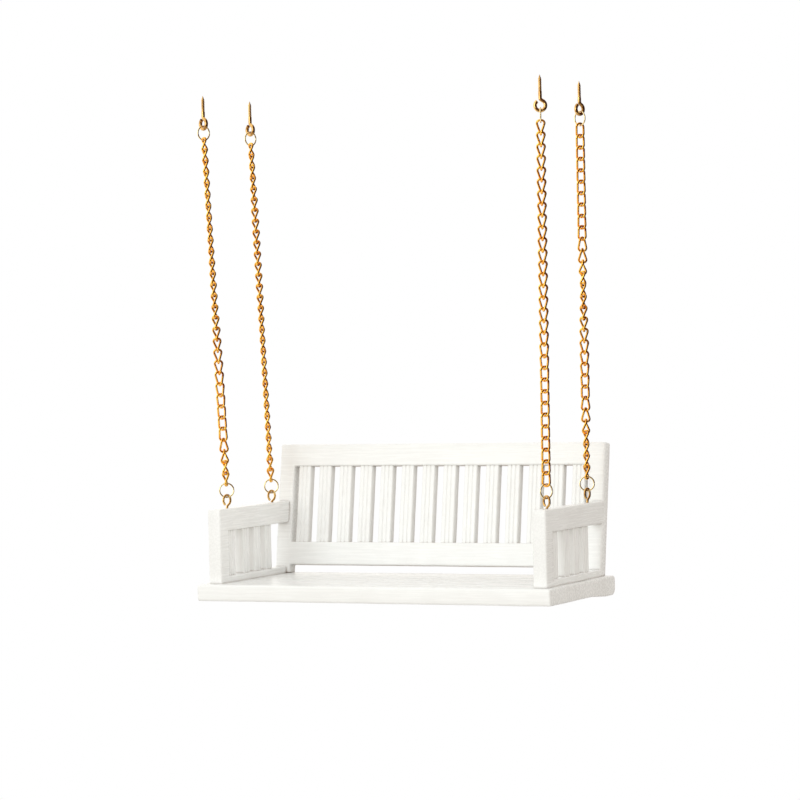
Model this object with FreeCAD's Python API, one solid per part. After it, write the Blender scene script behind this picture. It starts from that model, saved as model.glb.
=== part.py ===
import FreeCAD, Part
import math
import os

# A 1:12 miniature porch swing: a painted slatted bench hung from the ceiling on four curb chains.
# Millimetres. +X is the bench's right, +Y its back and +Z up. The origin is in the ceiling plane,
# at the centre of the four ceiling screw eyes. The bench is drawn in its own frame first, with
# X = 0 at its middle, Y = 0 at the seat's front edge and Z = 0 on the seat, and is then hung.

# Seat board
seat_width = 130.0
seat_depth = 57.5
seat_thickness = 5.6
seat_edge_round = 0.7
seat_rear_round = 1.3
seat_lip_drop = 1.0
seat_lip_length = 20.5
seat_lip_full_length = 8.0

# Bars of the frames
edge_round = 0.4
top_corner_round = 1.3

# Arms
arm_inset = 2.6
arm_width = 4.8
arm_front_inset = 4.0
arm_height = 25.3
arm_post_depth = 6.0
arm_top_rail_height = 7.5
arm_bottom_rail_height = 2.3
arm_slat_count = 4
arm_first_gap = 1.1
arm_wide_gap_extra = 1.9
arm_rear_gap = 9.3

# Back
recline_angle = 9.2
back_height = 45.85
stile_inset = 0.4
stile_width = 5.6
stile_depth = 4.7
stile_rear_margin = 1.34
back_top_rail_height = 7.7
back_bottom_rail_height = 8.0
back_bottom_gap = 3.15
back_slat_count = 14
back_end_gap = 1.6

# Reeded slats, and the shallow mortises that hold their ends
slat_width = 4.75
slat_thickness = 3.3
slat_bead_count = 3
slat_groove_depth = 0.2
mortise_depth = 0.8
mortise_clearance = 0.05

# Screw eyes in the arms
eye_wire = 0.8
eye_loop_diameter = 3.5
eye_neck = 0.2
eye_screw_length = 4.5
eye_point_length = 1.0
pilot_clearance = 0.02
front_eye_setback = 8.5
rear_eye_setback = 9.1
front_eye_inward = 0.6

# Screw eyes in the ceiling, a size larger
ceiling_eye_wire = 1.2
ceiling_eye_loop_diameter = 3.4
ceiling_eye_neck = 1.8
ceiling_eye_screw_length = 6.0
ceiling_eye_point_length = 1.4

# How far round each eye's loop is bent, in degrees, and how much its neck thickens into it
eye_loop_sweep = 338.0
eye_neck_flare = 0.05

# Jump rings
ring_wire = 0.5
ring_diameter = 4.8
ring_sweep = 357.0
ring_clearance = 0.14

# Curb chains
link_count = 31
link_pitch = 3.82
link_wire = 0.75
link_half_width = 1.65
link_corner_radius = 1.05
link_clearance = 0.1
left_chain_reach = 4.75
right_chain_reach = 0.5

# How each chain hangs: how much further its screw eye stands out of the arm than the neck alone
# (the eye above is that much deeper in the ceiling), and turns about the vertical, in degrees, of
# the screw eye, of the ring in it, and of the links. A link's turn is set at a few links, counted
# from the bench's end.
hangers = {
    "left_front": {
        "rise": 0.4,
        "eye": 76.0,
        "ring": 28.0,
        "links": (
            (0, 138.0), (2, 88.0), (4, 34.0), (7, 18.0),
            (11, -16.0), (15, -48.0), (24, -62.0), (30, -70.0),
        ),
    },
    "left_rear": {
        "rise": 0.0,
        "eye": 76.0,
        "ring": 28.0,
        "links": (
            (0, -40.0), (2, -57.0), (13, -60.0), (17, -43.0),
            (24, -40.0), (28, -60.0), (30, -67.0),
        ),
    },
    "right_front": {
        "rise": 0.0,
        "eye": -34.0,
        "ring": 60.0,
        "links": ((0, 28.0), (9, 18.0), (13, -12.0), (30, -22.0)),
    },
    "right_rear": {
        "rise": 0.65,
        "eye": 84.0,
        "ring": 22.0,
        "links": (
            (0, 305.0), (3, 292.0), (5, 240.0), (7, 202.0), (11, 167.0),
            (15, 122.0), (17, 105.0), (21, 26.0), (30, 22.0),
        ),
    },
}

# Places worked out from the sizes above
recline = math.radians(recline_angle)
arm_outer_x = seat_width / 2 - arm_inset
arm_inner_x = arm_outer_x - arm_width
arm_middle_x = arm_outer_x - arm_width / 2
post_back_y = arm_front_inset + arm_post_depth
stile_outer_x = arm_outer_x - stile_inset
stile_inner_x = stile_outer_x - stile_width
back_foot_y = seat_depth - stile_rear_margin - stile_depth / math.cos(recline)
top_rail_low = back_height - back_top_rail_height
bottom_rail_high = back_bottom_gap + back_bottom_rail_height
arm_rail_low = arm_height - arm_top_rail_height
front_eye_y = arm_front_inset + front_eye_setback
rear_eye_y = back_foot_y + arm_height * math.tan(recline) - rear_eye_setback

eye_loop_radius = eye_loop_diameter / 2
eye_outer_radius = eye_loop_radius + eye_wire / 2
ring_radius = ring_diameter / 2
eye_to_ring = (eye_wire + ring_wire) / 2 + ring_clearance
ceiling_loop_radius = ceiling_eye_loop_diameter / 2
ceiling_outer_radius = ceiling_loop_radius + ceiling_eye_wire / 2
ceiling_eye_to_ring = (ceiling_eye_wire + ring_wire) / 2 + ring_clearance
ring_to_link = (ring_wire + link_wire) / 2 + link_clearance
link_half_length = (link_pitch + link_wire + link_clearance) / 2

eye_centre_height = arm_height + eye_neck + eye_outer_radius
front_eye_x = arm_middle_x - front_eye_inward
lower_ring_height = eye_centre_height + eye_loop_radius - eye_to_ring + ring_radius
ring_centre_drop = 2 * (ring_radius - ring_to_link + link_half_length) + link_pitch * (link_count - 1)
upper_ring_height = lower_ring_height + ring_centre_drop
ceiling_eye_height = upper_ring_height + ring_radius - ceiling_eye_to_ring + ceiling_loop_radius
ceiling_height = ceiling_eye_height + ceiling_outer_radius + ceiling_eye_neck

bench_shift = (left_chain_reach - right_chain_reach) / 2
bench_place = FreeCAD.Vector(bench_shift, -(front_eye_y + rear_eye_y) / 2, -ceiling_height)

X_AXIS = FreeCAD.Vector(1, 0, 0)
Y_AXIS = FreeCAD.Vector(0, 1, 0)
Z_AXIS = FreeCAD.Vector(0, 0, 1)


def export(name, shape):
    """Hang a piece drawn in the bench's frame in its place under the ceiling and save it."""
    placed = shape.copy()
    placed.translate(bench_place)
    placed.exportStep("parts/" + name + ".step")


def block(low, high):
    """A plain box between two corners."""
    size = [b - a for a, b in zip(low, high)]
    return Part.makeBox(size[0], size[1], size[2], FreeCAD.Vector(*low))


def soft_bar(low, high):
    """A bar with every edge softened, as thick paint leaves it."""
    bar = block(low, high)
    return bar.makeFillet(edge_round, bar.Edges)


def reclined(shape):
    """Tip a piece of the back, drawn upright with its front face at Y = 0, to its recline."""
    tipped = shape.copy()
    tipped.rotate(FreeCAD.Vector(0, 0, 0), X_AXIS, -recline_angle)
    tipped.translate(FreeCAD.Vector(0, back_foot_y, 0))
    return tipped


def rounded_profile(corners, radii):
    """A closed wire of straight runs, each corner rounded by its own radius, 0 for a sharp one."""
    starts = []
    ends = []
    arcs = []
    count = len(corners)
    for index, corner in enumerate(corners):
        before = (corners[index - 1] - corner).normalize()
        after = (corners[(index + 1) % count] - corner).normalize()
        half = before.getAngle(after) / 2
        radius = radii[index]
        trim = radius / math.tan(half)
        inward = (before + after).normalize()
        start = corner + before * trim
        end = corner + after * trim
        middle = corner + inward * (radius / math.sin(half) - radius)
        starts.append(start)
        ends.append(end)
        arcs.append(Part.Arc(start, middle, end).toShape() if radius > 0 else None)
    edges = []
    for index in range(count):
        following = (index + 1) % count
        edges.append(Part.LineSegment(ends[index], starts[following]).toShape())
        if arcs[following] is not None:
            edges.append(arcs[following])
    return Part.Wire(edges)


def make_seat_board():
    """The seat: one board, with a rounded rear edge that is a little thicker underneath."""
    low = -seat_thickness
    lip_low = low - seat_lip_drop
    outline = (
        (0, 0, seat_edge_round),
        (0, low, seat_edge_round),
        (seat_depth - seat_lip_length, low, 0),
        (seat_depth - seat_lip_full_length, lip_low, 0),
        (seat_depth, lip_low, 2 * seat_rear_round),
        (seat_depth, 0, seat_rear_round),
    )
    corners = [FreeCAD.Vector(-seat_width / 2, y, z) for y, z, radius in outline]
    radii = [radius for y, z, radius in outline]
    face = Part.Face(rounded_profile(corners, radii))
    board = face.extrude(X_AXIS * seat_width)
    end_edges = [edge for edge in board.Edges if abs(abs(edge.CenterOfMass.x) - seat_width / 2) < 0.001]
    return board.makeFillet(edge_round, end_edges)


def slat_outline():
    """A slat's section: a row of beads parted by grooves, front and rear."""
    bead_width = slat_width / slat_bead_count
    half_depth = slat_thickness / 2
    groove = half_depth - slat_groove_depth
    edges = []
    for side in (-1, 1):
        for bead in range(slat_bead_count):
            start = bead * bead_width - slat_width / 2
            points = [(start, groove), (start + bead_width / 2, half_depth), (start + bead_width, groove)]
            arc = [FreeCAD.Vector(side * x, -side * y, 0) for x, y in points]
            edges.append(Part.Arc(*arc).toShape())
        corner = FreeCAD.Vector(side * slat_width / 2, -side * groove, 0)
        opposite = FreeCAD.Vector(side * slat_width / 2, side * groove, 0)
        edges.append(Part.LineSegment(corner, opposite).toShape())
    return Part.Wire(edges)


def make_slat(low, high):
    """An upright reeded slat centred on the Z axis, with both ends let into mortises."""
    face = Part.Face(slat_outline())
    face.translate(Z_AXIS * (low - mortise_depth))
    return face.extrude(Z_AXIS * (high - low + 2 * mortise_depth))


def mortise(low, high):
    """The cutter for both mortises of a slat that spans low to high."""
    half_width = slat_width / 2 + mortise_clearance
    half_depth = slat_thickness / 2 + mortise_clearance
    reach = mortise_depth + mortise_clearance
    return block((-half_width, -half_depth, low - reach), (half_width, half_depth, high + reach))


def back_slat_places():
    """Where the back's slats stand across it: evenly between the stiles."""
    first = -stile_inner_x + back_end_gap + slat_width / 2
    step = -2 * first / (back_slat_count - 1)
    middle = stile_depth / 2
    return [FreeCAD.Vector(first + step * index, middle, 0) for index in range(back_slat_count)]


def is_top_corner(edge):
    """Whether an edge of the upright right stile is the one across its outer top corner."""
    middle = edge.CenterOfMass
    return abs(middle.x - stile_outer_x) < 0.001 and abs(middle.z - back_height) < 0.001


def make_back():
    """The reclined back: two stiles that stand on the seat, two rails and the slats."""
    pieces = {}
    seat_below = block((-seat_width, -seat_depth, -seat_depth), (seat_width, 2 * seat_depth, 0))
    foot = -stile_depth
    stile = block((stile_inner_x, 0, foot), (stile_outer_x, stile_depth, back_height))
    corner = [edge for edge in stile.Edges if is_top_corner(edge)]
    rounded = stile.makeFillet(top_corner_round, corner)
    rounded = rounded.makeFillet(edge_round, rounded.Edges)
    right = reclined(rounded).cut(seat_below)
    pieces["back_right_stile"] = right
    pieces["back_left_stile"] = right.mirror(FreeCAD.Vector(0, 0, 0), X_AXIS)

    left_x = -stile_inner_x
    right_x = stile_inner_x
    top_rail = soft_bar((left_x, 0, top_rail_low), (right_x, stile_depth, back_height))
    bottom_rail = soft_bar((left_x, 0, back_bottom_gap), (right_x, stile_depth, bottom_rail_high))
    slat = make_slat(bottom_rail_high, top_rail_low)
    cutter = mortise(bottom_rail_high, top_rail_low)
    for number, place in enumerate(back_slat_places(), 1):
        placed_slat = slat.copy()
        placed_slat.translate(place)
        placed_cutter = cutter.copy()
        placed_cutter.translate(place)
        top_rail = top_rail.cut(placed_cutter)
        bottom_rail = bottom_rail.cut(placed_cutter)
        pieces["back_slat_%02d" % number] = reclined(placed_slat)
    pieces["back_top_rail"] = reclined(top_rail)
    pieces["back_bottom_rail"] = reclined(bottom_rail)
    return pieces


def arm_slat_places():
    """Where an arm's slats stand: a wider first gap, then even steps, and an open gap behind."""
    stile_face_y = back_foot_y + arm_bottom_rail_height * math.tan(recline)
    first = post_back_y + arm_first_gap + slat_width / 2
    last = stile_face_y - arm_rear_gap - slat_width / 2
    step = (last - first - arm_wide_gap_extra) / (arm_slat_count - 1)
    places = [first]
    for index in range(1, arm_slat_count):
        places.append(first + arm_wide_gap_extra + step * index)
    return places


def make_arm(side, name):
    """One arm: a front post, a deep top rail and a thin bottom rail with reeded slats between."""
    pieces = {}
    low_x = min(side * arm_inner_x, side * arm_outer_x)
    high_x = max(side * arm_inner_x, side * arm_outer_x)
    rail_end_y = seat_depth + stile_depth
    behind_back = reclined(block((-seat_width, 0, -seat_depth), (seat_width, seat_depth, 2 * seat_depth)))
    pieces[name + "_post"] = soft_bar((low_x, arm_front_inset, 0), (high_x, post_back_y, arm_height))
    top_rail = soft_bar((low_x, post_back_y, arm_rail_low), (high_x, rail_end_y, arm_height))
    bottom_rail = soft_bar((low_x, post_back_y, 0), (high_x, rail_end_y, arm_bottom_rail_height))
    slat = turned(make_slat(arm_bottom_rail_height, arm_rail_low), 90)
    cutter = turned(mortise(arm_bottom_rail_height, arm_rail_low), 90)
    for number, slat_y in enumerate(arm_slat_places(), 1):
        place = FreeCAD.Vector(side * arm_middle_x, slat_y, 0)
        placed_slat = slat.copy()
        placed_slat.translate(place)
        placed_cutter = cutter.copy()
        placed_cutter.translate(place)
        top_rail = top_rail.cut(placed_cutter)
        bottom_rail = bottom_rail.cut(placed_cutter)
        pieces["%s_slat_%d" % (name, number)] = placed_slat
    for eye_x, eye_y in ((front_eye_x, front_eye_y), (arm_middle_x, rear_eye_y)):
        depth = eye_screw_length + mortise_clearance
        mouth = FreeCAD.Vector(side * eye_x, eye_y, arm_height - depth)
        top_rail = top_rail.cut(Part.makeCylinder(eye_wire / 2 + pilot_clearance, depth + 1, mouth))
    pieces[name + "_top_rail"] = top_rail.cut(behind_back)
    pieces[name + "_bottom_rail"] = bottom_rail.cut(behind_back)
    return pieces


def wire_ring(radius, wire, sweep, start):
    """A ring of round wire in the XZ plane about the origin, bent through sweep degrees from start.

    The wire's two ends nearly meet: a jump ring's at one side, a screw eye's loop beside its neck.
    """
    angle = math.radians(start)
    centre = FreeCAD.Vector(radius * math.cos(angle), 0, radius * math.sin(angle))
    along = FreeCAD.Vector(-math.sin(angle), 0, math.cos(angle))
    section = Part.Face(Part.Wire(Part.makeCircle(wire / 2, centre, along)))
    return section.revolve(FreeCAD.Vector(0, 0, 0), Y_AXIS * -1, sweep)


def turned(shape, degrees):
    """A copy of a shape turned about the Z axis."""
    result = shape.copy()
    result.rotate(FreeCAD.Vector(0, 0, 0), Z_AXIS, degrees)
    return result


def make_eye(loop_radius, wire, neck, screw_length, point_length):
    """A screw eye centred on its loop, with its pointed screw straight down."""
    loop = wire_ring(loop_radius, wire, eye_loop_sweep, -90)
    screw_end = -loop_radius - wire / 2 - neck - screw_length
    core_end = screw_end + point_length
    core_top = screw_end + screw_length
    flare = wire / 2 + eye_neck_flare
    neck = Part.makeCone(wire / 2, flare, -loop_radius - core_top, FreeCAD.Vector(0, 0, core_top))
    core = Part.makeCylinder(wire / 2, core_top - core_end, FreeCAD.Vector(0, 0, core_end))
    point = Part.makeCone(0, wire / 2, point_length, FreeCAD.Vector(0, 0, screw_end))
    return loop.fuse([neck, core, point]).removeSplitter()


def make_link():
    """A twisted curb link along Z: a long loop with its two ends turned a quarter turn apart."""
    across = link_half_width * math.cos(math.radians(45))
    corners = [
        FreeCAD.Vector(across, across, link_half_length),
        FreeCAD.Vector(across, -across, -link_half_length),
        FreeCAD.Vector(-across, across, -link_half_length),
        FreeCAD.Vector(-across, -across, link_half_length),
    ]
    path = rounded_profile(corners, [link_corner_radius] * len(corners)).OrderedEdges
    start = FreeCAD.Vector(across, 0, 0)
    run_end = path[0].valueAt(path[0].LastParameter)
    run_start = path[4].valueAt(path[4].FirstParameter)
    end = FreeCAD.Vector(-across, 0, 0)
    first_run = Part.LineSegment(start, run_end).toShape()
    last_run = Part.LineSegment(run_start, end).toShape()
    half_path = Part.Wire([first_run] + path[1:4] + [last_run])
    section = Part.Face(Part.Wire(Part.makeCircle(link_wire / 2, start, run_end - start)))
    lower_half = half_path.makePipe(section)
    upper_half = lower_half.copy()
    upper_half.rotate(FreeCAD.Vector(0, 0, 0), X_AXIS, 180)
    return lower_half.fuse(upper_half).Solids[0]


def link_turn(stations, number):
    """A link's turn, between the turns given at the stations on either side of it."""
    for (low, low_turn), (high, high_turn) in zip(stations, stations[1:]):
        if number <= high:
            return low_turn + (high_turn - low_turn) * (number - low) / (high - low)
    return stations[-1][1]


def make_chain(link, foot, head, stations):
    """Copies of one link from the lower ring's centre, foot, to the upper ring's centre, head."""
    along = head - foot
    length = along.Length
    along.normalize()
    lean = math.degrees(math.atan2(along.x, along.z))
    first = ring_radius - ring_to_link + link_half_length
    pitch = (length - 2 * first) / (link_count - 1)
    links = []
    for number in range(link_count):
        placed = turned(link, link_turn(stations, number))
        placed.rotate(FreeCAD.Vector(0, 0, 0), Y_AXIS, lean)
        placed.translate(foot + along * (first + pitch * number))
        links.append(placed)
    return Part.makeCompound(links)


def make_hanger(corner, side, eye_x, eye_y, reach, link):
    """What hangs one corner: an eye in the arm, a ring, a chain, a second ring and a ceiling eye."""
    hanger = hangers[corner]
    rise = hanger["rise"]
    stations = hanger["links"]
    foot = FreeCAD.Vector(side * eye_x, eye_y, lower_ring_height + rise)
    head = FreeCAD.Vector(side * (arm_middle_x + reach), eye_y, upper_ring_height + rise)

    ring = wire_ring(ring_radius, ring_wire, ring_sweep, 0)
    eye = make_eye(eye_loop_radius, eye_wire, eye_neck + rise, eye_screw_length, eye_point_length)
    eye = turned(eye, hanger["eye"])
    eye.translate(FreeCAD.Vector(foot.x, foot.y, eye_centre_height + rise))
    lower_ring = turned(ring, hanger["ring"])
    lower_ring.translate(foot)

    across_top_link = link_turn(stations, link_count - 1) + 45 + 90
    upper_ring = turned(ring, across_top_link)
    upper_ring.translate(head)
    ceiling_eye = make_eye(
        ceiling_loop_radius,
        ceiling_eye_wire,
        ceiling_eye_neck - rise,
        ceiling_eye_screw_length,
        ceiling_eye_point_length,
    )
    ceiling_eye.rotate(FreeCAD.Vector(0, 0, 0), X_AXIS, 180)
    ceiling_eye = turned(ceiling_eye, across_top_link + 90)
    ceiling_eye.translate(FreeCAD.Vector(head.x, head.y, ceiling_eye_height + rise))
    return {
        "bench_eye_" + corner: eye,
        "lower_ring_" + corner: lower_ring,
        "chain_" + corner: make_chain(link, foot, head, stations),
        "upper_ring_" + corner: upper_ring,
        "ceiling_eye_" + corner: ceiling_eye,
    }


os.makedirs("parts", exist_ok=True)

swing = {"seat_board": make_seat_board()}
swing.update(make_back())
swing.update(make_arm(-1, "arm_left"))
swing.update(make_arm(1, "arm_right"))
one_link = make_link()
swing.update(make_hanger("left_front", -1, front_eye_x, front_eye_y, left_chain_reach, one_link))
swing.update(make_hanger("left_rear", -1, arm_middle_x, rear_eye_y, left_chain_reach, one_link))
swing.update(make_hanger("right_front", 1, front_eye_x, front_eye_y, right_chain_reach, one_link))
swing.update(make_hanger("right_rear", 1, arm_middle_x, rear_eye_y, right_chain_reach, one_link))

for node, piece in swing.items():
    export(node, piece)
    print(node, "valid" if piece.isValid() else "INVALID", len(piece.Solids), round(piece.Volume, 3))
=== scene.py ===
import math

import bmesh
import bpy
import numpy as np
from mathutils import Matrix, Vector, noise


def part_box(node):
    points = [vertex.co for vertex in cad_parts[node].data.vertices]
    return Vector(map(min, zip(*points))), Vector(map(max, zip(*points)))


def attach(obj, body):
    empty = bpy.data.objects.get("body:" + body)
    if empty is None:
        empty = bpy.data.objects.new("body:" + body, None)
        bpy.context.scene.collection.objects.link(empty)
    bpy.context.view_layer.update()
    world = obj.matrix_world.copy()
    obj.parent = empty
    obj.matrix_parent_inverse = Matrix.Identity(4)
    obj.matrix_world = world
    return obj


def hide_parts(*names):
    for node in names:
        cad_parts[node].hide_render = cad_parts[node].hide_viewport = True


# A 1:12 porch swing: a white painted slatted bench on four gilt curb chains.
# Metres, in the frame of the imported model: +X right, +Y towards the back, +Z up, ceiling at Z = 0.

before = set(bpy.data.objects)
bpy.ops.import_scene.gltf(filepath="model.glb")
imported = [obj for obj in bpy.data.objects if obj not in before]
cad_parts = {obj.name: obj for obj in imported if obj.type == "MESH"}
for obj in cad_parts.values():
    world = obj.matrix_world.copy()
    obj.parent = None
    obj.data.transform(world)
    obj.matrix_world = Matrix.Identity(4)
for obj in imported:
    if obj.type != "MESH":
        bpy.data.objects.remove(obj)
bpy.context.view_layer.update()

MM = 0.001
CORNERS = ("left_front", "left_rear", "right_front", "right_rear")

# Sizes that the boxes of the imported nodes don't give
RECLINE = math.radians(9.2)
SLAT_GROOVE = 0.20 * MM
SLAT_EDGE = 0.45 * MM
SLAT_GROOVES_AT = (0.34, 0.66)
SLAT_GROOVE_SHARE = 0.035
SLAT_STEPS = 60
FRAME_EDGE = 0.5 * MM
FRAME_CELL = 2.0 * MM
ARM_FOOT_SINK = 0.6 * MM
SEAT_LIP_DROP = 1.0 * MM
SEAT_LIP_LENGTH = 20.5 * MM
SEAT_LIP_FULL_LENGTH = 8.0 * MM
EYE_SIZES = {"bench": (0.8 * MM, 1.75 * MM, 1.0 * MM), "ceiling": (1.2 * MM, 1.7 * MM, 1.4 * MM)}
RING_WIRE = 0.5 * MM
RING_RADIUS = 2.4 * MM
LINK_WIRE = 0.75 * MM
LINK_HALF_WIDTH = 1.65 * MM
LINK_CORNER_RADIUS = 1.05 * MM
LINK_HALF_LENGTH = 2.335 * MM
LINK_COUNT = 31
RING_TO_LINK = 0.725 * MM

seat_low, seat_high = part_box("seat_board")
bench_origin = Vector(((seat_low.x + seat_high.x) / 2, seat_low.y, seat_high.z))


# ---------------------------------------------------------------- materials

def new_material(name):
    """An empty node material, its shader, and a maker of nodes for it."""
    material = bpy.data.materials.new(name)
    material.use_nodes = True
    tree = material.node_tree
    shader = tree.nodes["Principled BSDF"]

    def add(kind, **values):
        node = tree.nodes.new(kind)
        for key, value in values.items():
            if key in node.inputs:
                node.inputs[key].default_value = value
            else:
                setattr(node, key, value)
        return node

    return material, tree.links.new, shader, add


def ramp(add, link, source, stops):
    """A colour ramp fed by a socket, with (position, colour) stops."""
    node = add("ShaderNodeValToRGB")
    elements = node.color_ramp.elements
    for element, (position, colour) in zip(elements, (stops[0], stops[-1])):
        element.position = position
        element.color = (*colour, 1)
    for position, colour in stops[1:-1]:
        element = elements.new(position)
        element.color = (*colour, 1)
    link(source, node.inputs[0])
    return node.outputs[0]


def grey(value):
    return (value, value, value)


def paint_material(name, along):
    """Thick satin white paint over wood, brushed along one axis, with painted shade darkening its
    creases, and worn edges.
    """
    material, link, shader, add = new_material(name)
    place = add("ShaderNodeTexCoord")
    stretch = add("ShaderNodeMapping")
    scale = [1500, 1500, 1500]
    scale["XYZ".index(along)] = 70
    stretch.inputs["Scale"].default_value = scale
    link(place.outputs["Object"], stretch.inputs["Vector"])
    strokes = add("ShaderNodeTexNoise", Scale=1.0, Detail=5.0, Roughness=0.6)
    link(stretch.outputs[0], strokes.inputs["Vector"])
    clouds = add("ShaderNodeTexNoise", Scale=90.0, Detail=3.0, Roughness=0.5)
    link(place.outputs["Object"], clouds.inputs["Vector"])
    dimples = add("ShaderNodeTexNoise", Scale=900.0, Detail=2.0, Roughness=0.5)
    link(place.outputs["Object"], dimples.inputs["Vector"])

    tints = ((0.3, (0.865, 0.868, 0.855)), (0.7, (0.90, 0.907, 0.897)))
    tint = ramp(add, link, clouds.outputs["Fac"], tints)
    streak = ramp(add, link, strokes.outputs["Fac"], ((0.35, grey(0.978)), (0.6, grey(1.0))))
    streaked = add("ShaderNodeMix", data_type="RGBA", blend_type="MULTIPLY")
    streaked.inputs["Factor"].default_value = 1.0
    link(tint, streaked.inputs[6])
    link(streak, streaked.inputs[7])

    # Painted shade: ambient occlusion darkens creases, narrow gaps and faces close under other parts to
    # a warm brown in the base colour.
    crease = add("ShaderNodeAmbientOcclusion", Distance=1.6 * MM, samples=8)
    painted_crease_shade = ramp(add, link, crease.outputs["AO"], ((0.2, (0.36, 0.29, 0.23)), (0.72, grey(1.0))))
    crease_shaded_colour = add("ShaderNodeMix", data_type="RGBA", blend_type="MULTIPLY")
    crease_shaded_colour.inputs["Factor"].default_value = 1.0
    link(streaked.outputs[2], crease_shaded_colour.inputs[6])
    link(painted_crease_shade, crease_shaded_colour.inputs[7])

    outside = add("ShaderNodeAmbientOcclusion", Distance=0.5 * MM, samples=8, inside=True)
    wear = ramp(add, link, outside.outputs["AO"], ((0.35, grey(1.0)), (0.55, grey(0.0))))
    wear_break = ramp(add, link, dimples.outputs["Fac"], ((0.5, grey(0.0)), (0.62, grey(1.0))))
    wear_amount = add("ShaderNodeMath", operation="MULTIPLY")
    link(wear, wear_amount.inputs[0])
    link(wear_break, wear_amount.inputs[1])
    faint = add("ShaderNodeMath", operation="MULTIPLY")
    faint.inputs[1].default_value = 0.22
    link(wear_amount.outputs[0], faint.inputs[0])
    worn = add("ShaderNodeMix", data_type="RGBA", blend_type="MIX")
    link(faint.outputs[0], worn.inputs["Factor"])
    link(crease_shaded_colour.outputs[2], worn.inputs[6])
    worn.inputs[7].default_value = (0.62, 0.56, 0.46, 1)
    link(worn.outputs[2], shader.inputs["Base Color"])

    rough = add("ShaderNodeMapRange")
    rough.inputs["To Min"].default_value = 0.18
    rough.inputs["To Max"].default_value = 0.36
    link(strokes.outputs["Fac"], rough.inputs["Value"])
    link(rough.outputs[0], shader.inputs["Roughness"])
    shader.inputs["Specular IOR Level"].default_value = 0.4

    height = add("ShaderNodeMath", operation="ADD")
    link(strokes.outputs["Fac"], height.inputs[0])
    link(dimples.outputs["Fac"], height.inputs[1])
    bump = add("ShaderNodeBump", Strength=0.22, Distance=0.04 * MM)
    link(height.outputs[0], bump.inputs["Height"])
    link(bump.outputs[0], shader.inputs["Normal"])
    return material


def metal_material(name, bright, dull, smooth, rough, scratch):
    """Gilt or brass wire: drawn along its length, patchy in tone, with painted shade darkening its
    creases.
    """
    material, link, shader, add = new_material(name)
    shader.inputs["Metallic"].default_value = 1.0
    place = add("ShaderNodeTexCoord")
    mottle = add("ShaderNodeTexNoise", Scale=1400.0, Detail=4.0, Roughness=0.65)
    link(place.outputs["Object"], mottle.inputs["Vector"])
    patches = add("ShaderNodeTexNoise", Scale=260.0, Detail=2.0, Roughness=0.5)
    link(place.outputs["Object"], patches.inputs["Vector"])
    colour = ramp(add, link, patches.outputs["Fac"], ((0.35, dull), (0.6, bright)))
    # Painted shade: ambient occlusion darkens the wire to a dark brown in the base colour where links,
    # rings and eyes meet.
    crease = add("ShaderNodeAmbientOcclusion", Distance=0.5 * MM, samples=8)
    shade = ramp(add, link, crease.outputs["AO"], ((0.2, (0.42, 0.26, 0.16)), (0.75, grey(1.0))))
    shaded = add("ShaderNodeMix", data_type="RGBA", blend_type="MULTIPLY")
    shaded.inputs["Factor"].default_value = 1.0
    link(colour, shaded.inputs[6])
    link(shade, shaded.inputs[7])
    link(shaded.outputs[2], shader.inputs["Base Color"])
    gloss = add("ShaderNodeMapRange")
    gloss.inputs["To Min"].default_value = smooth
    gloss.inputs["To Max"].default_value = rough
    link(mottle.outputs["Fac"], gloss.inputs["Value"])
    link(gloss.outputs[0], shader.inputs["Roughness"])
    bump = add("ShaderNodeBump", Strength=scratch, Distance=0.02 * MM)
    link(mottle.outputs["Fac"], bump.inputs["Height"])
    link(bump.outputs[0], shader.inputs["Normal"])
    return material


paint = {along: paint_material("white_paint_" + along.lower(), along) for along in "XYZ"}
chain_gilt = metal_material("chain_gilt", (1.0, 0.58, 0.10), (0.90, 0.42, 0.06), 0.10, 0.22, 0.35)
ring_gilt = metal_material("ring_gilt", (1.0, 0.86, 0.50), (0.95, 0.74, 0.36), 0.16, 0.30, 0.25)
eye_brass = metal_material("eye_brass", (0.85, 0.55, 0.20), (0.50, 0.27, 0.08), 0.14, 0.30, 0.45)


# ---------------------------------------------------------------- making pieces

def finish_piece(name, bm, material, body, nodes, crisp=math.radians(35)):
    """Turn a bmesh in the row frame into a smooth-shaded piece that stands for CAD nodes."""
    bmesh.ops.recalc_face_normals(bm, faces=bm.faces)
    mesh = bpy.data.meshes.new(name)
    bm.to_mesh(mesh)
    bm.free()
    for polygon in mesh.polygons:
        polygon.use_smooth = True
    mesh.set_sharp_from_angle(angle=crisp)
    mesh.materials.append(material)
    piece = bpy.data.objects.new(name, mesh)
    bpy.context.scene.collection.objects.link(piece)
    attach(piece, body)
    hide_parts(*nodes)
    return piece


def tilted_box(node, tilt):
    """A node's box in axes tilted back by tilt about X, through the row frame's origin."""
    turn = Matrix.Rotation(tilt, 3, "X")
    points = np.array([turn @ vertex.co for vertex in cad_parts[node].data.vertices])
    return Vector(points.min(0)), Vector(points.max(0))


def wobble(bm, strength, size, seed):
    """Move a surface in and out by smooth noise, as hand sanding and thick paint leave it."""
    bm.normal_update()
    offset = Vector((seed * 7.3, seed * 3.1, seed * 5.7))
    shifts = [noise.noise(vertex.co / size + offset) * strength for vertex in bm.verts]
    for vertex, shift in zip(bm.verts, shifts):
        vertex.co += vertex.normal * shift


def slice_up(bm, low, high, margin, step):
    """Cut a mesh into cells about one step long, between margins, so that it can wobble."""
    for axis in range(3):
        start = low[axis] + margin
        span = high[axis] - low[axis] - 2 * margin
        count = max(1, round(span / step))
        normal = Vector([1.0 if axis == other else 0.0 for other in range(3)])
        for index in range(count + 1):
            point = normal * (start + span * index / count)
            geometry = bm.verts[:] + bm.edges[:] + bm.faces[:]
            bmesh.ops.bisect_plane(bm, geom=geometry, dist=1e-7, plane_co=point, plane_no=normal)


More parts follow.
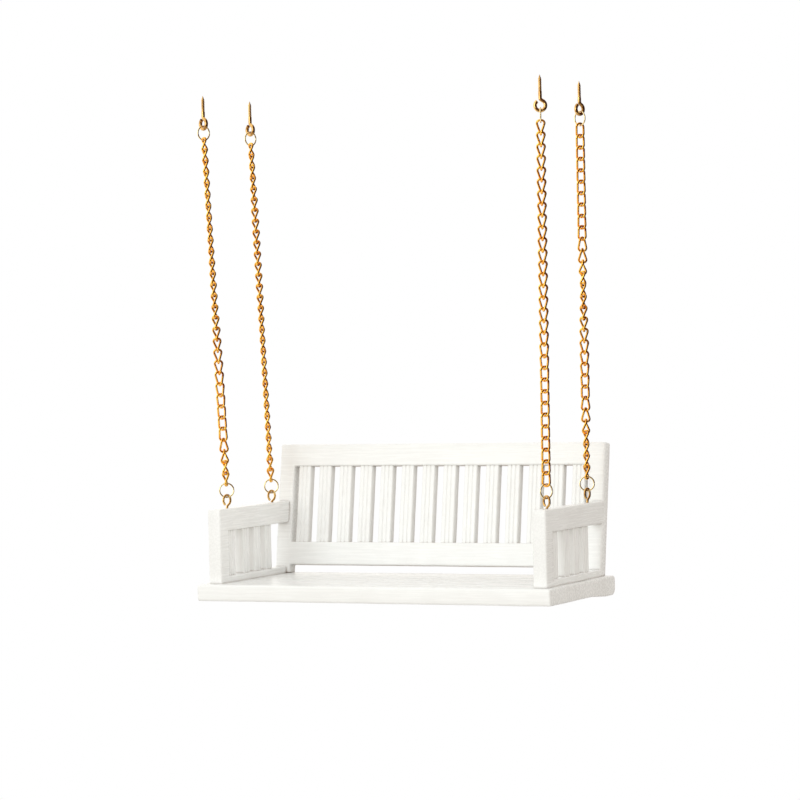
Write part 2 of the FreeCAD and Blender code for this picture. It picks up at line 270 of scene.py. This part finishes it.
def tilt_back(bm, tilt):
    bmesh.ops.rotate(bm, cent=(0, 0, 0), matrix=Matrix.Rotation(-tilt, 3, "X"), verts=bm.verts)


def joined_bars(nodes, through, tilt, radius, sink):
    """Bars that lie in one plane as one rounded solid with no joint lines, sunk a little."""
    boxes = [tilted_box(node, tilt) for node in nodes]
    low = Vector([min(box[0][axis] for box in boxes) for axis in range(3)])
    high = Vector([max(box[1][axis] for box in boxes) for axis in range(3)])
    flat = [axis for axis in range(3) if axis != through]
    cuts = [sorted({round(end[axis], 6) for box in boxes for end in box}) for axis in flat]
    bm = bmesh.new()
    corners = {}

    def corner(*places):
        if places not in corners:
            point = Vector((0.0, 0.0, 0.0))
            point[flat[0]], point[flat[1]] = places
            point[through] = low[through]
            corners[places] = bm.verts.new(point)
        return corners[places]

    for left, right in zip(cuts[0], cuts[0][1:]):
        for under, over in zip(cuts[1], cuts[1][1:]):
            middle = list(zip(flat, ((left + right) / 2, (under + over) / 2)))
            if any(all(box[0][axis] < at < box[1][axis] for axis, at in middle) for box in boxes):
                ends = ((left, under), (right, under), (right, over), (left, over))
                bm.faces.new([corner(*end) for end in ends])
    moved = bmesh.ops.extrude_face_region(bm, geom=bm.faces[:])["geom"]
    shift = Vector([high[axis] - low[axis] if axis == through else 0.0 for axis in range(3)])
    verts = [item for item in moved if isinstance(item, bmesh.types.BMVert)]
    bmesh.ops.translate(bm, vec=shift, verts=verts)
    for vertex in bm.verts:
        if vertex.co.z < low.z + 1e-6:
            vertex.co.z -= sink
    bmesh.ops.recalc_face_normals(bm, faces=bm.faces)
    edges = [edge for edge in bm.edges if edge.calc_face_angle(0) > 0.5]
    bmesh.ops.bevel(bm, geom=edges, offset=radius, segments=4, profile=0.5, affect="EDGES")
    slice_up(bm, low, high, radius, FRAME_CELL)
    return bm


def make_seat():
    """The seat board: an outline across its depth, drawn out along its width."""
    low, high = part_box("seat_board")
    top, under = high.z, low.z
    flat_under = under + SEAT_LIP_DROP
    outline = [
        (low.y, top, 0.9 * MM),
        (low.y, flat_under, 0.9 * MM),
        (high.y - SEAT_LIP_LENGTH, flat_under, 4 * MM),
        (high.y - SEAT_LIP_FULL_LENGTH, under, 4 * MM),
        (high.y, under, 2.6 * MM),
        (high.y, top, 1.6 * MM),
    ]
    points = []
    for index, (y, z, radius) in enumerate(outline):
        corner = Vector((y, z))
        before = (Vector(outline[index - 1][:2]) - corner).normalized()
        after = (Vector(outline[(index + 1) % len(outline)][:2]) - corner).normalized()
        half = before.angle(after) / 2
        centre = corner + (before + after).normalized() * (radius / math.sin(half))
        start = corner + before * (radius / math.tan(half)) - centre
        end = corner + after * (radius / math.tan(half)) - centre
        for part in range(7):
            points.append(centre + start.lerp(end, part / 6).normalized() * radius)
    bm = bmesh.new()
    face = bm.faces.new([bm.verts.new((low.x, y, z)) for y, z in points])
    moved = bmesh.ops.extrude_face_region(bm, geom=[face])["geom"]
    verts = [item for item in moved if isinstance(item, bmesh.types.BMVert)]
    bmesh.ops.translate(bm, vec=(high.x - low.x, 0, 0), verts=verts)
    ends = [edge for edge in bm.edges if abs(edge.verts[0].co.x - edge.verts[1].co.x) < 1e-9]
    bmesh.ops.bevel(bm, geom=ends, offset=0.5 * MM, segments=4, profile=0.5, affect="EDGES")
    slice_up(bm, low, high, 0.9 * MM, 2.0 * MM)
    wobble(bm, 0.10 * MM, 13 * MM, 1)
    wobble(bm, 0.04 * MM, 4 * MM, 2)
    finish_piece("seat_board_painted", bm, paint["X"], "bench", ["seat_board"])


def slat_section(width, depth):
    """The outline of a slat: flat, with two faint grooves front and rear and softened edges."""
    points = []
    for side in (-1, 1):
        for index in range(SLAT_STEPS + 1):
            across = index / SLAT_STEPS
            dips = [math.exp(-((across - line) / SLAT_GROOVE_SHARE) ** 2) for line in SLAT_GROOVES_AT]
            near = min(across, 1 - across) * width
            drop = max(0.0, SLAT_EDGE - near)
            edge = SLAT_EDGE - math.sqrt(SLAT_EDGE ** 2 - drop ** 2)
            reach = depth / 2 - SLAT_GROOVE * sum(dips) - edge
            points.append((side * (across - 0.5) * width, side * reach))
    return points


def make_slat(node, seed, tilt, turn):
    """A reeded slat in place of a CAD slat; turn swaps its width and depth for the arms."""
    low, high = tilted_box(node, tilt)
    middle = (low + high) / 2
    size = high - low
    width, depth = (size.y, size.x) if turn else (size.x, size.y)
    section = slat_section(width, depth)
    count = max(2, round(size.z / (1.2 * MM)))
    bm = bmesh.new()
    rings = []
    for level in range(count + 1):
        z = low.z + size.z * level / count
        ring = []
        for x, y in section:
            across, through = (y, x) if turn else (x, y)
            ring.append(bm.verts.new((middle.x + across, middle.y + through, z)))
        rings.append(ring)
    for lower, upper in zip(rings, rings[1:]):
        for index in range(len(section)):
            after = (index + 1) % len(section)
            bm.faces.new((lower[index], lower[after], upper[after], upper[index]))
    bm.faces.new(rings[0])
    bm.faces.new(rings[-1])
    bmesh.ops.remove_doubles(bm, verts=bm.verts, dist=1e-6)
    wobble(bm, 0.05 * MM, 7 * MM, seed)
    tilt_back(bm, tilt)
    finish_piece(node + "_painted", bm, paint["Z"], "bench", [node], math.radians(60))


def make_back():
    """The reclined back: a frame cut off flat on the seat, and its slats."""
    nodes = ["back_left_stile", "back_right_stile", "back_top_rail", "back_bottom_rail"]
    bm = joined_bars(nodes, 1, RECLINE, FRAME_EDGE, 0.0)
    wobble(bm, 0.05 * MM, 9 * MM, 11)
    tilt_back(bm, RECLINE)
    down = Vector((0, -math.sin(RECLINE), -math.cos(RECLINE)))
    for vertex in bm.verts:
        short = bench_origin.z - vertex.co.z
        if short > 0:
            vertex.co += down * (short / down.z)
    finish_piece("back_frame_painted", bm, paint["X"], "bench", nodes)
    for node in sorted(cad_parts):
        if node.startswith("back_slat_"):
            make_slat(node, 30 + int(node[-2:]), RECLINE, False)


def make_arms():
    """Both arms: a post and rails in one, scribed to the reclined stiles, and slats."""
    stile_low, stile_high = tilted_box("back_left_stile", RECLINE)
    lean = Vector((0, math.cos(RECLINE), -math.sin(RECLINE)))
    for index, side in enumerate(("left", "right")):
        arm = "arm_%s_" % side
        nodes = [arm + "post", arm + "top_rail", arm + "bottom_rail"]
        bm = joined_bars(nodes, 0, 0.0, FRAME_EDGE, ARM_FOOT_SINK)
        wobble(bm, 0.05 * MM, 9 * MM, 51 + index)
        for vertex in bm.verts:
            vertex.co.z = max(vertex.co.z, bench_origin.z)
            past = vertex.co.dot(lean) - stile_low.y
            if past > 0:
                vertex.co.y -= past / lean.y
        finish_piece(arm + "frame_painted", bm, paint["Y"], "bench", nodes)
        for number in range(1, 5):
            make_slat("%sslat_%d" % (arm, number), 70 + 4 * index + number, 0.0, True)


# ---------------------------------------------------------------- wire

def tube(bm, points, radius, sides, closed):
    """A round wire along points, its section carried along without twisting."""
    count = len(points)
    tangents = []
    for index in range(count):
        before = points[index - 1] if index > 0 or closed else points[0]
        after = points[(index + 1) % count] if index < count - 1 or closed else points[-1]
        tangents.append((after - before).normalized())
    across = tangents[0].orthogonal().normalized()
    frames = []
    for tangent in tangents:
        across = (across - tangent * across.dot(tangent)).normalized()
        frames.append((across.copy(), tangent.cross(across)))
    slip = 0.0
    if closed:
        last, last_up = frames[-1]
        carried = (last - tangents[0] * last.dot(tangents[0])).normalized()
        slip = math.atan2(carried.dot(frames[0][1]), carried.dot(frames[0][0]))
    rings = []
    for index, (point, (side, up)) in enumerate(zip(points, frames)):
        twist = -slip * index / count
        ring = []
        for step in range(sides):
            angle = 2 * math.pi * step / sides + twist
            ring.append(bm.verts.new(point + (side * math.cos(angle) + up * math.sin(angle)) * radius))
        rings.append(ring)
    pairs = list(zip(rings, rings[1:]))
    if closed:
        pairs.append((rings[-1], rings[0]))
    for first, second in pairs:
        for step in range(sides):
            after = (step + 1) % sides
            bm.faces.new((first[step], first[after], second[after], second[step]))
    if not closed:
        bm.faces.new(rings[0])
        bm.faces.new(rings[-1])


def link_path():
    """The line of a twisted curb link: a long loop, its two ends turned a quarter turn apart."""
    across = LINK_HALF_WIDTH * math.cos(math.radians(45))
    signs = ((1, 1, 1), (1, -1, -1), (-1, 1, -1), (-1, -1, 1))
    corners = [Vector((across * x, across * y, LINK_HALF_LENGTH * z)) for x, y, z in signs]
    points = []
    for index, corner in enumerate(corners):
        before = (corners[index - 1] - corner).normalized()
        after = (corners[(index + 1) % 4] - corner).normalized()
        half = before.angle(after) / 2
        centre = corner + (before + after).normalized() * (LINK_CORNER_RADIUS / math.sin(half))
        trim = LINK_CORNER_RADIUS / math.tan(half)
        start = corner + before * trim
        end = corner + after * trim
        for part in range(9):
            spoke = (start - centre).lerp(end - centre, part / 8).normalized()
            points.append(centre + spoke * LINK_CORNER_RADIUS)
        following = corners[(index + 1) % 4]
        next_start = following + (corner - following).normalized() * trim
        run = next_start - end
        cells = max(1, round(run.length / (0.35 * MM)))
        points.extend(end + run * (cell / cells) for cell in range(1, cells))
    return points


def link_turns(node, foot, along, first, pitch):
    """Each link's turn about the chain, read from where its two sides pass its middle."""
    points = np.array([vertex.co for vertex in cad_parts[node].data.vertices])
    offsets = points - np.array(foot)
    heights = offsets @ np.array(along)
    sideways = offsets - np.outer(heights, np.array(along))
    turns = []
    for number in range(LINK_COUNT):
        near = sideways[np.abs(heights - first - pitch * number) < 1.2 * MM][:, :2]
        spread = near.T @ near
        turns.append(0.5 * math.atan2(2 * spread[0, 1], spread[0, 0] - spread[1, 1]))
    return turns


def make_chain(corner):
    """The links of one chain, each turned as read from the imported chain, in one piece."""
    node = "chain_" + corner
    foot, head = [sum(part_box(end + corner), Vector()) / 2 for end in ("lower_ring_", "upper_ring_")]
    along = (head - foot).normalized()
    first = RING_RADIUS - RING_TO_LINK + LINK_HALF_LENGTH
    pitch = ((head - foot).length - 2 * first) / (LINK_COUNT - 1)
    lean = Matrix.Rotation(math.atan2(along.x, along.z), 4, "Y")
    path = link_path()
    bm = bmesh.new()
    for number, turn in enumerate(link_turns(node, foot, along, first, pitch)):
        middle = foot + along * (first + pitch * number)
        place = Matrix.Translation(middle) @ lean @ Matrix.Rotation(turn, 4, "Z")
        tube(bm, [place @ point for point in path], LINK_WIRE / 2, 12, True)
    finish_piece(node + "_links", bm, chain_gilt, "hanger_" + corner, [node])


def wire_yaw(node, near):
    """The turn about Z of a wire loop that stands upright, from the points at chosen heights."""
    low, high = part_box(node)
    points = np.array([vertex.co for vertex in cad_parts[node].data.vertices])
    flat = (points[near(points[:, 2])] - (np.array(low) + np.array(high)) / 2)[:, :2]
    spread = flat.T @ flat
    return 0.5 * math.atan2(2 * spread[0, 1], spread[0, 0] - spread[1, 1])


def make_ring(node, body):
    """A jump ring: round wire bent till its ends meet in a fine seam."""
    low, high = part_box(node)
    centre = (low + high) / 2
    yaw = wire_yaw(node, lambda heights: heights < np.inf)
    out = Vector((math.cos(yaw), math.sin(yaw), 0))
    up = Vector((0, 0, 1))
    bm = bmesh.new()
    start, sweep, parts = math.radians(1.2), math.radians(357.6), 72
    angles = [start + sweep * part / parts for part in range(parts + 1)]
    line = [centre + (out * math.cos(angle) + up * math.sin(angle)) * RING_RADIUS for angle in angles]
    tube(bm, line, RING_WIRE / 2, 14, False)
    finish_piece(node + "_wire", bm, ring_gilt, body, [node], math.radians(60))


def make_eye(node, body, up_sign, surface):
    """A screw eye: wire bent into a loop over a neck, and a threaded, pointed screw."""
    wire, loop_radius, point_length = EYE_SIZES[body]
    low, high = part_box(node)
    loop_outer = loop_radius + wire / 2
    loop_z = high.z - loop_outer if up_sign > 0 else low.z + loop_outer
    length = abs((low.z if up_sign > 0 else high.z) - loop_z)
    neck_end = abs(surface - loop_z)
    middle = Vector(((low.x + high.x) / 2, (low.y + high.y) / 2, loop_z))
    yaw = wire_yaw(node, lambda heights: np.abs(heights - loop_z) < loop_outer)
    out = Vector((math.cos(yaw), math.sin(yaw), 0))
    up = Vector((0, 0, up_sign))
    radius = wire / 2

    # The bend from the neck into the loop meets the circle 30 degrees on from its lowest point
    join = math.radians(-60)
    meet = Vector((math.cos(join), math.sin(join))) * loop_radius
    knee = Vector((0, meet.y - meet.x * math.tan(math.radians(30))))
    foot = Vector((0, -neck_end - 0.5 * MM))
    flat = [foot]
    for part in range(9):
        share = part / 8
        low_arm = Vector((0, knee.y - 0.4 * MM)).lerp(knee, share)
        flat.append(low_arm.lerp(knee.lerp(meet, share), share))
    for part in range(1, 49):
        angle = join + math.radians(296) * part / 48
        flat.append(Vector((math.cos(angle), math.sin(angle))) * loop_radius)
    bm = bmesh.new()
    tube(bm, [middle + out * x + up * y for x, y in flat], radius, 16, False)

    # The screw: a helical ridge round a core that tapers to its point
    sides, thread, pitch = 20, 0.12 * MM, 0.55 * MM
    top = neck_end - 0.2 * MM
    rows = round((length - top) / (0.07 * MM))
    rings = []
    for row in range(rows + 1):
        depth = top + (length - top) * row / rows
        taper = min(1.0, (length - depth) / point_length)
        ring = []
        for step in range(sides):
            angle = 2 * math.pi * step / sides
            phase = (depth / pitch - step / sides) % 1.0
            ridge = max(0.0, 1 - abs(phase - 0.5) * 3.2)
            fade = min(1.0, row / 6)
            reach = (radius - thread + thread * ridge * fade + thread * (1 - fade)) * taper + 0.01 * MM
            spoke = out * math.cos(angle) + up.cross(out) * math.sin(angle)
            ring.append(bm.verts.new(middle + spoke * reach - up * depth))
        rings.append(ring)
    for first, second in zip(rings, rings[1:]):
        for step in range(sides):
            after = (step + 1) % sides
            bm.faces.new((first[step], first[after], second[after], second[step]))
    bm.faces.new(rings[0])
    bm.faces.new(rings[-1])
    finish_piece(node + "_brass", bm, eye_brass, body, [node], math.radians(50))


make_seat()
make_back()
make_arms()
for corner in CORNERS:
    make_chain(corner)
    make_ring("lower_ring_" + corner, "hanger_" + corner)
    make_ring("upper_ring_" + corner, "hanger_" + corner)
    make_eye("bench_eye_" + corner, "bench", 1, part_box("arm_left_top_rail")[1].z)
    make_eye("ceiling_eye_" + corner, "ceiling", -1, 0.0)


# ---------------------------------------------------------------- stage, light and camera

def make_floor():
    """A pale floor well below the hanging bench."""
    drop = 1.1
    half = 1.2
    bm = bmesh.new()
    corners = ((-half, -half), (half, -half), (half, half), (-half, half))
    bm.faces.new([bm.verts.new((x, y, bench_origin.z - drop)) for x, y in corners])
    mesh = bpy.data.meshes.new("floor")
    bm.to_mesh(mesh)
    bm.free()
    material, link, shader, add = new_material("pale_floor")
    shader.inputs["Roughness"].default_value = 0.9
    grain = add("ShaderNodeTexNoise", Scale=40.0, Detail=3.0)
    colour = ramp(add, link, grain.outputs["Fac"], ((0.3, grey(0.86)), (0.7, grey(0.88))))
    link(colour, shader.inputs["Base Color"])
    glow = add("ShaderNodeEmission", Strength=1.0)
    seen = add("ShaderNodeLightPath")
    share = add("ShaderNodeMath", operation="MULTIPLY")
    share.inputs[1].default_value = 0.93
    link(seen.outputs["Is Camera Ray"], share.inputs[0])
    mix = add("ShaderNodeMixShader")
    link(share.outputs[0], mix.inputs[0])
    link(shader.outputs[0], mix.inputs[1])
    link(glow.outputs[0], mix.inputs[2])
    link(mix.outputs[0], material.node_tree.nodes["Material Output"].inputs["Surface"])
    mesh.materials.append(material)
    floor = bpy.data.objects.new("floor", mesh)
    bpy.context.scene.collection.objects.link(floor)


def make_world():
    """White behind the object, even fill from all round, and a studio for the metal to reflect."""
    world = bpy.data.worlds.new("studio")
    bpy.context.scene.world = world
    world.use_nodes = True
    tree = world.node_tree
    link = tree.links.new
    output = tree.nodes["World Output"]
    fill = tree.nodes["Background"]
    place = tree.nodes.new("ShaderNodeTexCoord")

    def banded(axis, stops):
        """Colours set out along one direction, from behind it to ahead of it."""
        side = tree.nodes.new("ShaderNodeVectorMath")
        side.operation = "DOT_PRODUCT"
        side.inputs[1].default_value = Vector(axis).normalized()
        link(place.outputs["Generated"], side.inputs[0])
        half = tree.nodes.new("ShaderNodeMapRange")
        half.inputs["From Min"].default_value = -1.0
        link(side.outputs["Value"], half.inputs["Value"])
        bands = tree.nodes.new("ShaderNodeValToRGB")
        link(half.outputs[0], bands.inputs[0])
        elements = bands.color_ramp.elements
        elements[0].position, elements[0].color = stops[0][0], (*stops[0][1], 1)
        elements[1].position, elements[1].color = stops[-1][0], (*stops[-1][1], 1)
        for position, colour in stops[1:-1]:
            elements.new(position).color = (*colour, 1)
        return bands.outputs[0]

    sky = ((0.30, (0.16, 0.13, 0.10)), (0.52, (0.96, 0.90, 0.82)), (0.8, (0.86, 0.85, 0.83)))
    link(banded((0.15, -0.2, 1.0), sky), fill.inputs["Color"])
    fill.inputs["Strength"].default_value = 1.16
    white = tree.nodes.new("ShaderNodeBackground")
    white.inputs["Color"].default_value = (1, 1, 1, 1)
    white.inputs["Strength"].default_value = 1.0
    mirror = tree.nodes.new("ShaderNodeBackground")
    mirror.inputs["Strength"].default_value = 1.35
    stops = (
        (0.30, (0.03, 0.008, 0.005)), (0.52, (0.09, 0.028, 0.014)), (0.56, (0.45, 0.32, 0.22)),
        (0.61, (0.12, 0.04, 0.02)), (0.69, (1.0, 0.97, 0.92)), (1.0, (1.0, 1.0, 1.0)),
    )
    link(banded((-0.90, -0.05, 0.45), stops), mirror.inputs["Color"])
    seen = tree.nodes.new("ShaderNodeLightPath")
    clear = tree.nodes.new("ShaderNodeMath")
    clear.operation = "MAXIMUM"
    link(seen.outputs["Is Camera Ray"], clear.inputs[0])
    link(seen.outputs["Is Transmission Ray"], clear.inputs[1])
    first = tree.nodes.new("ShaderNodeMixShader")
    link(seen.outputs["Is Glossy Ray"], first.inputs[0])
    link(fill.outputs[0], first.inputs[1])
    link(mirror.outputs[0], first.inputs[2])
    second = tree.nodes.new("ShaderNodeMixShader")
    link(clear.outputs[0], second.inputs[0])
    link(first.outputs[0], second.inputs[1])
    link(white.outputs[0], second.inputs[2])
    link(second.outputs[0], output.inputs["Surface"])


def add_softbox(name, offset, size, power, colour):
    """A square softbox at an offset from the bench, turned towards it."""
    light = bpy.data.lights.new(name, "AREA")
    light.size = size
    light.energy = power
    light.color = colour
    holder = bpy.data.objects.new(name, light)
    holder.location = bench_origin + Vector(offset)
    aim = bench_origin + Vector((0, 0.03, 0.03)) - holder.location
    holder.rotation_euler = aim.to_track_quat("-Z", "Y").to_euler()
    bpy.context.scene.collection.objects.link(holder)


def make_camera():
    """A long lens from the bench's front right, almost level with the seat."""
    azimuth, fall, roll = math.radians(25.5), math.radians(1.21), math.radians(-1.43)
    offset = Vector((0.45271, -0.92133, 0.08338))
    camera = bpy.data.cameras.new("camera")
    camera.lens = 139.64
    camera.sensor_width = 36.0
    camera.clip_start = 0.01
    holder = bpy.data.objects.new("camera", camera)
    turn = Matrix.Rotation(azimuth, 4, "Z") @ Matrix.Rotation(math.pi / 2 - fall, 4, "X")
    turn = turn @ Matrix.Rotation(roll, 4, "Z")
    holder.matrix_world = Matrix.Translation(bench_origin + offset) @ turn
    bpy.context.scene.collection.objects.link(holder)
    bpy.context.scene.camera = holder


make_floor()
make_world()
add_softbox("key", (-0.25, -1.2, 0.25), 0.6, 3.5, (0.90, 0.98, 1.0))
make_camera()
bpy.context.scene.view_settings.view_transform = "Standard"
